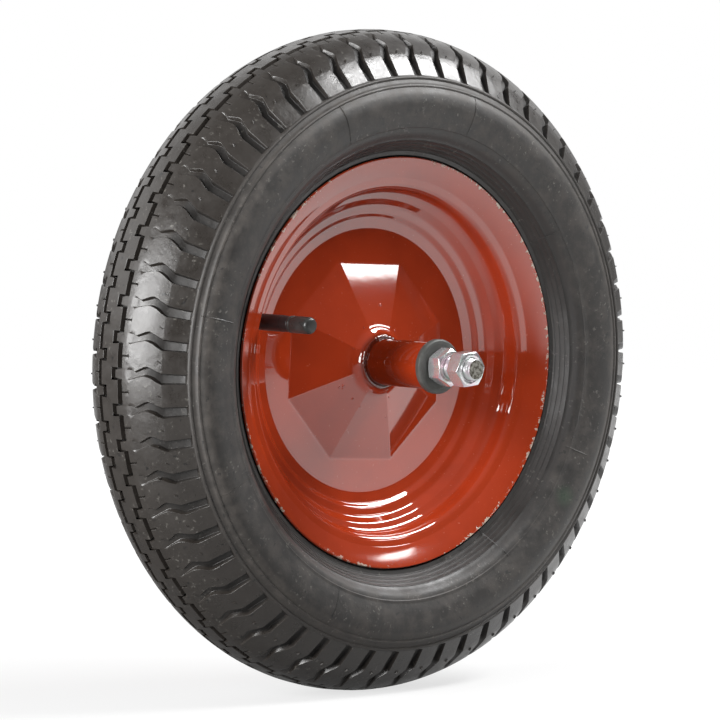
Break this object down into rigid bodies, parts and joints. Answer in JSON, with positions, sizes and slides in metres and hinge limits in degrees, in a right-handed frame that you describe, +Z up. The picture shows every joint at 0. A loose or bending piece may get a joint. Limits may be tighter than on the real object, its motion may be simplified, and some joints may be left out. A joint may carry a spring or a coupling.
{
  "type": "wheelbarrow wheel",
  "caption": "Pneumatic wheelbarrow wheel: treaded rubber tyre and inner tube on a pressed steel rim that rolls on a fixed threaded axle held by nuts.",
  "frame": {"origin": "the wheel's centre, on the axle's axis in the tyre's mid-plane", "axes": "+Y along the axle towards the rear, -Y out of the valve side, +Z up"},
  "size_m": [0.3768, 0.1922, 0.3768],
  "materials": {
    "tyre": "semi-gloss black rubber",
    "tube_rubber": "smooth butyl rubber",
    "rim_paint": "glossy orange-red paint",
    "zinc": "bright zinc plate",
    "steel": "ground steel",
    "brass": "turned brass",
    "grey_plastic": "dark grey moulded plastic",
    "cage_plastic": "natural nylon",
    "black_plastic": "black moulded plastic"
  },
  "bodies": {
    "axle_set": {"axle": "zinc", "inner_nut_front": "zinc", "inner_nut_rear": "zinc", "outer_nut_front": "zinc", "outer_nut_rear": "zinc"},
    "wheel": {"hub_tube": "rim_paint", "hub_spacer": "steel", "dust_cap_front": "grey_plastic", "dust_cap_rear": "grey_plastic", "rim_half_front": "rim_paint", "rim_half_rear": "rim_paint", "tyre": "tyre", "inner_tube": "tube_rubber", "valve_stem": "tube_rubber", "valve_sleeve": "brass", "valve_core": "brass", "valve_spring": "steel"},
    "cage_front": {"roller_cage_front": "cage_plastic"},
    "cage_rear": {"roller_cage_rear": "cage_plastic"},
    "roller_f1": {"roller_front_1": "steel"},
    "roller_f2": {"roller_front_2": "steel"},
    "roller_f3": {"roller_front_3": "steel"},
    "roller_f4": {"roller_front_4": "steel"},
    "roller_f5": {"roller_front_5": "steel"},
    "roller_r1": {"roller_rear_1": "steel"},
    "roller_r2": {"roller_rear_2": "steel"},
    "roller_r3": {"roller_rear_3": "steel"},
    "roller_r4": {"roller_rear_4": "steel"},
    "roller_r5": {"roller_rear_5": "steel"},
    "valve_pin_body": {"valve_pin": "brass"},
    "valve_cap_body": {"valve_cap": "black_plastic"}
  },
  "joints": [
    {"name": "wheel_spin", "type": "hinge", "parent": "axle_set", "child": "wheel", "pos_m": [0, 0, 0], "axis": [0, 1, 0], "continuous": true},
    {"name": "cage_front_spin", "type": "hinge", "parent": "axle_set", "child": "cage_front", "pos_m": [0, -0.0434, 0], "axis": [0, 1, 0], "continuous": true},
    {"name": "roller_front_1_spin", "type": "hinge", "parent": "cage_front", "child": "roller_f1", "pos_m": [0.008, -0.0434, 0], "axis": [0, 1, 0], "continuous": true},
    {"name": "roller_front_2_spin", "type": "hinge", "parent": "cage_front", "child": "roller_f2", "pos_m": [0.00247, -0.0434, 0.00761], "axis": [0, 1, 0], "continuous": true},
    {"name": "roller_front_3_spin", "type": "hinge", "parent": "cage_front", "child": "roller_f3", "pos_m": [-0.00647, -0.0434, 0.0047], "axis": [0, 1, 0], "continuous": true},
    {"name": "roller_front_4_spin", "type": "hinge", "parent": "cage_front", "child": "roller_f4", "pos_m": [-0.00647, -0.0434, -0.0047], "axis": [0, 1, 0], "continuous": true},
    {"name": "roller_front_5_spin", "type": "hinge", "parent": "cage_front", "child": "roller_f5", "pos_m": [0.00247, -0.0434, -0.00761], "axis": [0, 1, 0], "continuous": true},
    {"name": "cage_rear_spin", "type": "hinge", "parent": "axle_set", "child": "cage_rear", "pos_m": [0, 0.0434, 0], "axis": [0, 1, 0], "continuous": true},
    {"name": "roller_rear_1_spin", "type": "hinge", "parent": "cage_rear", "child": "roller_r1", "pos_m": [0.008, 0.0434, 0], "axis": [0, 1, 0], "continuous": true},
    {"name": "roller_rear_2_spin", "type": "hinge", "parent": "cage_rear", "child": "roller_r2", "pos_m": [0.00247, 0.0434, -0.00761], "axis": [0, 1, 0], "continuous": true},
    {"name": "roller_rear_3_spin", "type": "hinge", "parent": "cage_rear", "child": "roller_r3", "pos_m": [-0.00647, 0.0434, -0.0047], "axis": [0, 1, 0], "continuous": true},
    {"name": "roller_rear_4_spin", "type": "hinge", "parent": "cage_rear", "child": "roller_r4", "pos_m": [-0.00647, 0.0434, 0.0047], "axis": [0, 1, 0], "continuous": true},
    {"name": "roller_rear_5_spin", "type": "hinge", "parent": "cage_rear", "child": "roller_r5", "pos_m": [0.00247, 0.0434, 0.00761], "axis": [0, 1, 0], "continuous": true},
    {"name": "valve_pin_press", "type": "slide", "parent": "wheel", "child": "valve_pin_body", "axis": [0, 1, 0], "range_m": [0, 0.0015], "stiffness_N_per_m": 200, "deforming": ["valve_spring"]},
    {"name": "valve_cap_off", "type": "slide", "parent": "wheel", "child": "valve_cap_body", "axis": [0, -1, 0], "range_m": [0, 0.018]}
  ],
  "couplings": [
    {"joint": "cage_front_spin", "follows": "wheel_spin", "ratio": 0.625},
    {"joint": "roller_front_1_spin", "follows": "wheel_spin", "ratio": 1.875},
    {"joint": "roller_front_2_spin", "follows": "wheel_spin", "ratio": 1.875},
    {"joint": "roller_front_3_spin", "follows": "wheel_spin", "ratio": 1.875},
    {"joint": "roller_front_4_spin", "follows": "wheel_spin", "ratio": 1.875},
    {"joint": "roller_front_5_spin", "follows": "wheel_spin", "ratio": 1.875},
    {"joint": "cage_rear_spin", "follows": "wheel_spin", "ratio": 0.625},
    {"joint": "roller_rear_1_spin", "follows": "wheel_spin", "ratio": 1.875},
    {"joint": "roller_rear_2_spin", "follows": "wheel_spin", "ratio": 1.875},
    {"joint": "roller_rear_3_spin", "follows": "wheel_spin", "ratio": 1.875},
    {"joint": "roller_rear_4_spin", "follows": "wheel_spin", "ratio": 1.875},
    {"joint": "roller_rear_5_spin", "follows": "wheel_spin", "ratio": 1.875}
  ]
}
